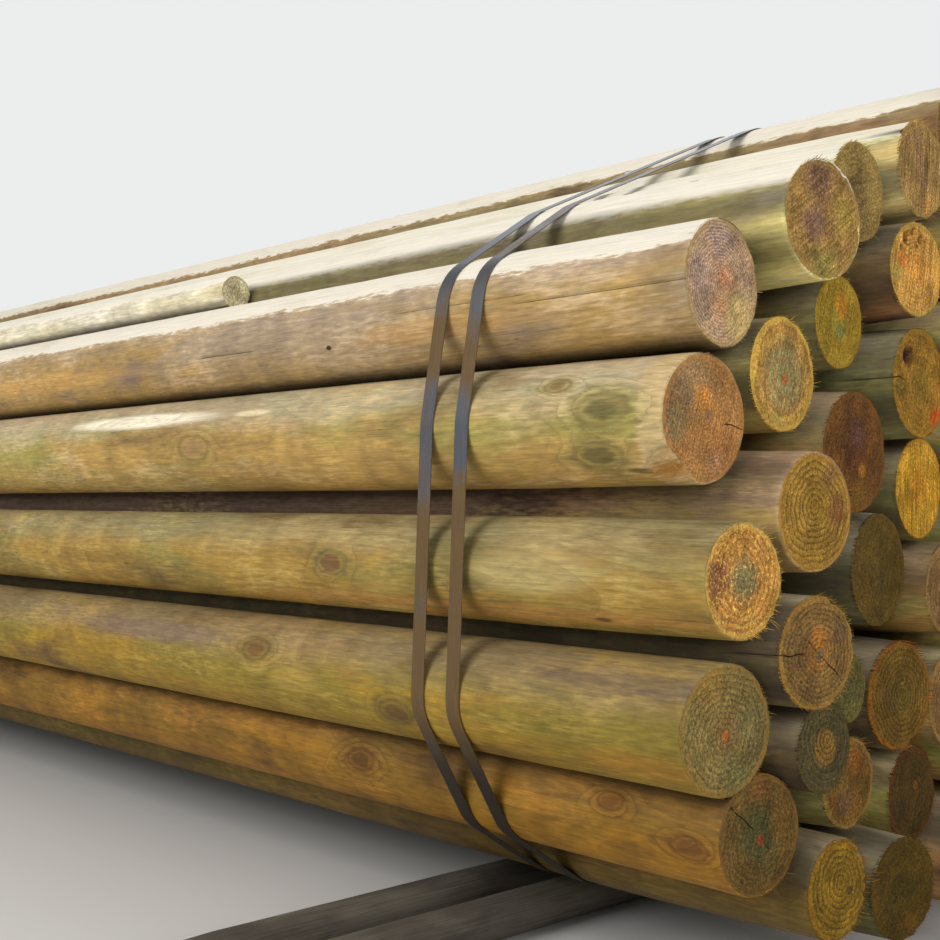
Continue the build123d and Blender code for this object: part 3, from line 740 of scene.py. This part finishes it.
# how each log looks, in mm and degrees. A knot: how far behind the near end, bearing, size, two tones.
# A stain: how far behind, bearing, length, width, tone, strength. A blot on the sawn end: across, up, size,
# tone, strength. A check: bearing, start, stop, width, depth. A pit: across, up, size, depth
looks = {
    "log_25": dict(
        side="#cab08d #b49459 #aa9476 #7a6862", upper="#b4a290",
        stains=[(196, 203, 70, 16, "#78676a", 0.28), (120, 150, 90, 16, "#98888b", 0.25),
            (512, 200, 5, 3, "#3f3128", 1.0), (330, 196, 150, 14, "#c69857", 0.5),
            (1250, 196, 300, 16, "#d1a35b", 0.6)],
        end="#a98060 #b27b57 #cbbfa2 #d9a15e",
        blots=[(26, -30, 28, "#d0b159", 0.85), (-4, 44, 26, "#82646a", 0.75), (-36, 4, 22, "#8f696a", 0.65),
            (4, 4, 12, "#d57d4a", 0.75), (-6, -24, 16, "#cf884a", 0.6)],
        columns=SEEN, grain=0.2, rings=21, pith=(-3, -1), lines=0.75, saw=60, mottle=0.4,
        rim_tone="#b89b58",
        side_checks=[(183, 0, 240, 0.9, 3), (176, 180, 420, 0.7, 2), (192, 660, 830, 0.8, 2)],
    ),
    # the near-cream side tones of this top log are painted sunlight
    "log_26": dict(
        side="#f1e8d1 #f1e38e #f1df97 #bc8f73",
        stains=[(218, 112, 9, 4, "#50412d", 1.0), (133, 112, 9, 4, "#50412d", 1.0),
            (280, 118, 12, 3, "#756241", 0.9)],
        end="#a17e44 #9a7646 #6a4e34 #d09e50",
        blots=[(-6, 36, 28, "#6b4e49", 0.8), (-16, -6, 20, "#765b55", 0.75), (28, 6, 22, "#a89142", 0.7),
            (0, -46, 26, "#8e8642", 0.75)],
        columns=SEEN, grain=0.45, rings=16, pith=(8, -10), saw=55, scoring=0.3, lines=0.4, ragged=1.1,
        mottle=0.5,
    ),
    "log_16": dict(
        side="#d0b480 #bb9754 #a29651 #7e6840", upper="#c6baa1",
        knots=[(73, 170, 14, "#514a28", "#8f8a44"), (81, 214, 12, "#554b2a", "#968d4c"),
            (132, 146, 7, "#836c41", "#9f8f4f"), (760, 186, 13, "#a58154", "#b59654")],
        # the two near-white stains far back on the upper front flank are painted sunlight patches
        stains=[(915, 147, 195, 12, "#fff3d6", 0.98), (640, 148, 40, 5, "#f0dcb0", 0.9),
            (10, 236, 26, 15, "#b67f3a", 0.9), (40, 232, 20, 5, "#5e4825", 0.85)],
        end="#b6834a #c38a4a #6c5643 #ecac5a",
        blots=[(-20, 32, 34, "#967c5b", 0.85), (-42, -6, 18, "#9d8d61", 0.75), (-2, 18, 14, "#ec9f46", 0.8),
            (6, 2, 6, "#9d7872", 0.6), (26, -16, 26, "#c4864b", 0.6), (16, -40, 14, "#a37b62", 0.6)],
        columns=SEEN, cream_band=30, grain=0.3, sun=0.0, rings=20, pith=(0, 2), lines=0.45, mottle=0.6,
        rim_tone="#b78046", worn=2.0, ragged=0.5, chip=(232, 52, 9, 34),
        end_checks=[(-8, 0.5, 1.0, 1.2, 6)],
    ),
    "log_12": dict(
        upper="#a49873", side="#c0ab68 #ac8a41 #918444 #6c5832",
        knots=[(518, 180, 10, "#70442f", "#857c44")],
        # the long golden stain on the lower flank, 300 mm behind at bearing 226, is painted reflected light
        stains=[(1050, 190, 170, 10, "#7e6631", 0.5), (300, 226, 380, 12, "#bd8a48", 0.6),
            (210, 178, 90, 22, "#bca76e", 0.7), (300, 196, 30, 12, "#7a6a41", 0.6),
            (130, 228, 12, 4, "#593e28", 0.8)],
        end="#ca9043 #85875c #683f29 #edc462",
        blots=[(-2, 2, 30, "#ae763a", 0.6), (-2, 2, 22, "#858258", 0.92), (-34, 4, 20, "#804f3e", 0.7),
            (8, -34, 14, "#d3a74e", 0.5)],
        columns=SEEN, sun=0.0, grain=0.42, rings=9, pith=(-3, 2), lines=0.62, heart_reach=0.2, mottle=0.9,
        rim_tone="#dfba5d", ragged=1.1, wavy=0.12,
    ),
    "log_10": dict(
        upper="#958166", side="#b3954a #a1802d #8c7930 #644a2b",
        knots=[(642, 158, 11, "#714727", "#7f6d34"), (382, 202, 11, "#654522", "#71642b")],
        stains=[(60, 215, 70, 16, "#aa782a", 0.5), (640, 172, 30, 14, "#c6a651", 0.7),
            (560, 186, 50, 14, "#b8994a", 0.6), (900, 150, 200, 16, "#846e5f", 0.6),
            (40, 140, 160, 12, "#6b5b4a", 0.6)],
        end="#86723d #816739 #3f3f2f #af9254",
        blots=[(0, -4, 22, "#816035", 0.6), (-2, -4, 5, "#c75d23", 1.0), (-22, 42, 24, "#a17b37", 0.75),
            (30, 0, 26, "#796e43", 0.6), (10, -40, 24, "#6a673b", 0.6)],
        columns=SEEN, sun=0.0, grain=0.3, rings=11, pith=(-2, -4), lines=0.62, heart_reach=0.3, mottle=0.5,
        rim_tone="#a07b39", wavy=0.09, relief=1.1,
    ),
    "log_08": dict(
        upper="#896c3e", side="#b57e36 #a07220 #866522 #56391a",
        knots=[(506, 176, 10, "#4d3212", "#815822"), (36, 190, 8, "#6a4620", "#8d5e20"),
            (132, 161, 7, "#7a5020", "#936520")],
        end="#6c5428 #4d4e2b #43301b #8e6d33",
        blots=[(-8, 6, 30, "#4a502b", 0.7), (12, -20, 20, "#4d4f2b", 0.5), (0, -4, 6, "#9c4422", 1.0),
            (30, 12, 20, "#785823", 0.6), (0, 46, 18, "#815729", 0.7)],
        columns=SEEN, sun=0.0, grain=0.45, rings=11, pith=(0, -4), lines=0.6, rim_tone="#7f5c2e",
        mottle=0.45,
        end_checks=[(142, 0.2, 0.95, 1.2, 6), (-50, 0.0, 0.35, 1.2, 5), (70, 0.0, 0.3, 1.2, 5),
            (-130, 0.0, 0.25, 1.0, 4)],
    ),
    "log_02": dict(
        side="#836938 #6f5727 #635723 #392913", end="#907021 #987421 #4b3911 #b08a38",
        blots=[(18, -4, 6, "#4e4029", 0.9), (-20, -20, 20, "#816019", 0.5)],
        columns=SEEN, sun=0.0, grain=0.4, rings=9, pith=(4, 6), lines=0.8, ragged=2.6, rim_tone="#a67925",
        wavy=0.08,
    ),
    "log_14": dict(
        upper="#a38d81", side="#d8be7d #bd9d5b #a28c54 #8e6b68",
        # the two long dark stains far back are partly the log's own stain and partly painted shade of the
        # deep gap between its neighbours
        stains=[(30, 168, 90, 12, "#7e665b", 0.6), (260, 170, 120, 14, "#926956", 0.5),
            (620, 172, 400, 34, "#5c4741", 0.85), (1480, 172, 620, 40, "#544240", 0.85)],
        end="#a98335 #ab8736 #624623 #daa54a",
        blots=[(34, 2, 18, "#7c4831", 0.8), (22, 34, 15, "#835e40", 0.6), (0, 6, 10, "#bc8c36", 0.6)],
        columns=SEEN, sun=0.0, grain=0.3, rings=11, pith=(-2, 4), lines=0.8, rim_tone="#bc893d", wavy=0.1,
        relief=1.4,
    ),
    "log_11": dict(
        side="#7c7048 #6a5a3a #5f5638 #4a3a2e", end="#876737 #9b6c34 #4e3923 #b48641",
        blots=[(2, 14, 12, "#bc772d", 0.85), (4, -2, 6, "#5e5d49", 0.9), (34, 20, 15, "#776149", 0.6),
            (-26, 4, 20, "#765b33", 0.5)],
        rings=12, pith=(2, 0), lines=0.75, rim_tone="#b48a3a", ragged=1.5,
        end_checks=[(180, 0.3, 1.0, 1.4, 6), (-38, 0.0, 0.8, 1.3, 6), (140, 0.0, 0.35, 1.2, 5),
            (60, 0.0, 0.3, 1.2, 5)],
    ),
    "log_20": dict(
        end="#6b4721 #623d23 #462813 #9b6526",
        blots=[(4, 20, 16, "#593d3e", 0.75), (12, -18, 8, "#af7727", 0.8), (8, -40, 18, "#7c5f21", 0.6)],
        rings=14, lines=0.35, rim_tone="#7c5523",
    ),
    "log_21": dict(
        side="#b29a5a #a18747 #8e8747 #6a5437", end="#c7a248 #94945e #925f37 #eccc66",
        blots=[(0, -2, 50, "#ab6d3b", 0.8), (0, -2, 40, "#979360", 0.95), (2, -4, 6, "#d3673b", 0.9),
            (-10, -46, 16, "#d3b55b", 0.7)],
        rings=4, pith=(2, -4), lines=0.7, heart_reach=0.45, rim_tone="#ddb552", wavy=0.1,
        end_checks=[(-60, 0.72, 0.95, 1.0, 3)],
    ),
    "log_22": dict(
        side="#86824e #736d3e #5a613b #473726", end="#a0772a #8f722a #67471e #d19134",
        blots=[(-26, 26, 12, "#42241e", 0.95), (34, -36, 14, "#d1461d", 0.9),
            (-38, -4, 14, "#676128", 0.7)],
        rings=9, wavy=0.16, lines=0.5, rim_tone="#a0772d",
        pits=[(-26, 26, 9, 6)],
        end_checks=[(176, 0.5, 1.0, 1.3, 6)],
    ),
    "log_23": dict(
        side="#807745 #6a6137 #5d5d32 #3f3224", end="#a2842b #978634 #746322 #cba13d",
        blots=[(4, 16, 14, "#df8f26", 0.75), (0, -10, 9, "#748650", 0.7)],
        rings=10, lines=0.35, rim_tone="#9f802d",
    ),
    "log_24": dict(
        side="#977040 #865d37 #705a37 #4d3424", end="#cb9848 #cb8f3f #95602e #e8c069",
        blots=[(-26, 6, 10, "#c66030", 0.7), (-36, -6, 12, "#999345", 0.7)],
        rings=13, saw=10, scoring=0.35, lines=0.5, rim_tone="#b9a04e",
        pits=[(-18, 30, 7, 8), (-5, 37, 5, 8), (10, 32, 7, 7), (-26, 20, 5, 6), (1, 25, 5, 6)],
    ),
    # the near-cream side tones of the top logs log_27 and log_28 are painted sunlight
    "log_27": dict(
        side="#ededb7 #e8cd8a #cec280 #a08759", end="#947b45 #856c40 #635130 #d7b268",
        rings=14, saw=70, lines=0.35,
    ),
    "log_28": dict(
        side="#edecaf #e2c57e #c8b974 #997f52", end="#ad8b50 #9f7d50 #735a3a #e1ac68",
        blots=[(-10, 30, 16, "#907053", 0.6), (14, -34, 14, "#d2994e", 0.7)],
        rings=15, saw=4, scoring=0.4, lines=0.55, wavy=0.14, ragged=1.8,
        pits=[(-38, 34, 6, 5)],
    ),
    "log_19": dict(
        side="#938047 #7b6b39 #6a6737 #4a3926", end="#ca9930 #d3942e #a17123 #e8be4d",
        rings=13, pith=(0, -20), saw=0, scoring=0.4, lines=0.6, rim_tone="#b48331",
    ),
    "log_15": dict(
        side="#6a613a #5a5332 #4e4e2d #372d1f", end="#5e491b #5f4c20 #463716 #7c5f28",
        rings=9, lines=0.3, mottle=0.3, rim_tone="#6b5220",
    ),
    "log_18": dict(end="#8a673d #826039 #58432c #af864b", rings=10),
    "log_06": dict(
        side="#73613b #645132 #58532d #3a2d1f", end="#75591e #685520 #3d3214 #9d6b26",
        rings=12, pith=(4, 0), lines=0.8, ragged=2.4, rim_tone="#a46020", wavy=0.1,
    ),
    "log_09": dict(
        side="#73603b #604d32 #555130 #37281f", end="#554b2b #916c2b #352f1f #866e3b",
        rings=8, pith=(4, 6), lines=0.8, heart_reach=0.4, rim_tone="#5b4d2b",
    ),
    "log_07": dict(end="#685f30 #635c33 #444026 #857943", rings=7, rim_tone="#726330"),
    "log_03": dict(
        end="#795723 #765422 #49381a #a3732d",
        blots=[(8, 22, 14, "#9f5d22", 0.7), (-6, -16, 18, "#5f463a", 0.6), (-14, 4, 12, "#6c612e", 0.5)],
        rings=12, saw=35, ragged=1.4,
    ),
    "log_05": dict(
        end="#4a3813 #523d17 #37260f #78511b",
        blots=[(6, 8, 5, "#935d1e", 0.8)],
        rings=10, rim_tone="#6d3614",
    ),
    "log_17": dict(end="#926f3f #926939 #58432c #bc9050", rings=12, rim_tone="#af823f"),
    "log_01": dict(
        side="#6a6437 #5a532d #514e2b #342d1d", end="#513e10 #483b10 #392b0c #78581a",
        blots=[(10, -34, 10, "#7e571a", 0.5), (-24, 0, 16, "#453e12", 0.5)],
        rings=10, lines=0.35, saw=50, rim_tone="#5e4412",
    ),
}

named = sorted(node for node in nodes if node.startswith("log_"))
layers = [f"back_{layer}" for layer in range(1, 9)]
found = {node: rounds_of(node) for node in named + layers + ["loose_pole"]}
all_rounds = [one for rounds in found.values() for one in rounds]

sides = [peeled_side(f"peeled_pine_{number}", tones) for number, tones in enumerate(plain_sides)]
ends = []
for number, tones in enumerate(plain_ends):
    ends.append(sawn_end(f"sawn_pine_{number}", tones, saw=25 + 40 * number))

for number, node in enumerate(named):
    look = {"columns": INNER, **looks.get(node, {})}
    one = found[node][0]
    piece = lay_round("pine_" + node, one, number + 1, look)
    side, end = sides[number % len(sides)], ends[number % len(ends)]
    if "side" in look:
        side = peeled_side("peeled_" + node, look["side"], one, **look)
    if "end" in look:
        end = sawn_end("sawn_" + node, look["end"], tuple(one[0]), **look)
    fringe = lay_fringe(fibre_ring, one, 200 + number, look)
    give_finishes(piece, side, end)
    give_finishes(fringe, side, end)
    join_to(piece, [fringe])
    place(piece, node, "treated_pine")

count = 0
for node in layers:
    laid = []
    for number, one in enumerate(found[node]):
        count += 1
        look = {"columns": HIDDEN, "rings": 8 + count * 5 % 9, "saw": 40 * count}
        piece = lay_round(f"{node}_{number}", one, 100 + count, look)
        give_finishes(piece, sides[count % len(sides)], ends[count * 2 % len(ends)])
        laid.append(piece)
    join_to(laid[0], laid[1:])
    laid[0].name = "pine_" + node
    place(laid[0], node, "treated_pine")

# painted sunlight: the loose pole lies open to the sky, and its side and end are coloured nearly white
look = {"columns": INNER, "rings": 6, "hollow": 1.6}
one = found["loose_pole"][0]
pole = lay_round("pine_loose_pole", one, 60, look)
sunlit_pole_side = peeled_side("peeled_thin_pole", "#f4ecda #ece2c6 #e2d7b2 #bba876", upper="#f4ecda")
sunlit_pole_end = "#ecdfb4 #dccb9c #b9a472 #f2e7c8"
give_finishes(pole, sunlit_pole_side, sawn_end("sawn_thin_pole", sunlit_pole_end, tuple(one[0]), lines=0.4))
place(pole, "loose_pole", "treated_pine")

# the bearers: thin poles across the stack, each with a long drying crack
shaded_grey_pole = weathered_pole()
grey_end = sawn_end("weathered_pole_end", "#665c4e #574d42 #3e372f #776d5d", rim_tone="#6e6455")
for number, spot in enumerate(("near_inner", "near_outer", "far_inner", "far_outer")):
    node = "bearer_" + spot
    one = rounds_of(node, crosswise=True)[0]
    crack_at = (150, 205, 35, 330)[number]
    crack = (crack_at, 60 + 40 * number, 900, 1.4, 4)
    look = {"columns": INNER, "rings": 6, "hollow": 1.8, "side_checks": [crack]}
    piece = lay_round("pine_" + node, one, 70 + number, look, crosswise=True)
    give_finishes(piece, shaded_grey_pole, grey_end)
    place(piece, node, "weathered_pole")

for pattern in [*patterns.values(), fibre_ring]:
    bpy.data.objects.remove(pattern)

strapping, seal_zinc = blued_strapping(), crimped_seal()
for node, body in nodes.items():
    if node.startswith(("strap_", "seal_")):
        body.data.materials.clear()
        body.data.materials.append(strapping if node.startswith("strap_") else seal_zinc)

stage_white = paint("#eceded")

floor_finish, add, spot = new_finish("studio_floor")
away = add("VectorMath", LENGTH, i0=spot).outputs["Value"]
fade = add("MapRange", SMOOTH, Value=away, From_Min=2.0, From_Max=5.6)
ground = add("BsdfDiffuse", Color=paint("#dddcda"))
sky = add("Emission", Color=stage_white, Strength=1.0)
path = add("LightPath")
shown = add("Math", TIMES, i0=fade, i1=path.outputs["Is Camera Ray"])
blend = add("MixShader", i0=shown, i1=ground.outputs[0], i2=sky.outputs[0])
add("OutputMaterial", Surface=blend)

bpy.ops.mesh.primitive_plane_add(size=60, location=(0, 0, 0))
floor = bpy.context.object
floor.name = "studio_floor"
floor.data.materials.append(floor_finish)

world = bpy.data.worlds.new("studio")
bpy.context.scene.world = world
world.use_nodes = True
world.node_tree.nodes.clear()
add = partial(add_node, world.node_tree)
rays = add("LightPath").outputs
plain = add("Math", LARGER, i0=rays["Is Camera Ray"], i1=rays["Is Transmission Ray"])
soft = add("Background", Color=paint("#f0efed"), Strength=0.32)
shown = add("Background", Color=stage_white, Strength=1.0)
mixed = add("MixShader", i0=plain, i1=soft.outputs[0], i2=shown.outputs[0])
add("OutputWorld", Surface=mixed)


def soft_lamp(name, spot, aim, size, power):
    """A square soft lamp that looks at a point."""
    lamp = bpy.data.lights.new(name, "AREA")
    lamp.shape = "SQUARE"
    lamp.size = size
    lamp.energy = power
    holder = bpy.data.objects.new(name, lamp)
    bpy.context.scene.collection.objects.link(holder)
    holder.location = spot
    holder.rotation_euler = (Vector(aim) - Vector(spot)).to_track_quat("-Z", "Y").to_euler()


soft_lamp("overhead", (-0.2, 1.2, 3.4), (0.3, 0, 0.6), 2.6, 39)
soft_lamp("front", (0.4, -4.0, 2.3), (0.4, -0.3, 0.5), 2.6, 112)
soft_lamp("end", (4.2, -1.2, 1.6), (1.5, 0.1, 0.5), 1.8, 50)
soft_lamp("back", (-0.4, 4.2, 2.3), (-0.2, 0.3, 0.5), 2.6, 60)
soft_lamp("far_end", (-4.4, 0.8, 1.6), (-1.5, 0.1, 0.5), 1.8, 34)

lens = bpy.data.cameras.new("camera")
lens.lens = 52.5
lens.sensor_width = 36
lens.shift_y = 0.0319
lens.clip_start = 0.05
lens.clip_end = 200
camera = bpy.data.objects.new("camera", lens)
bpy.context.scene.collection.objects.link(camera)
camera.location = (2.2088, -1.3771, 0.4847)
camera.rotation_euler = (math.radians(90), 0, math.radians(47.57))
bpy.context.scene.camera = camera
bpy.context.scene.view_settings.view_transform = "Standard"
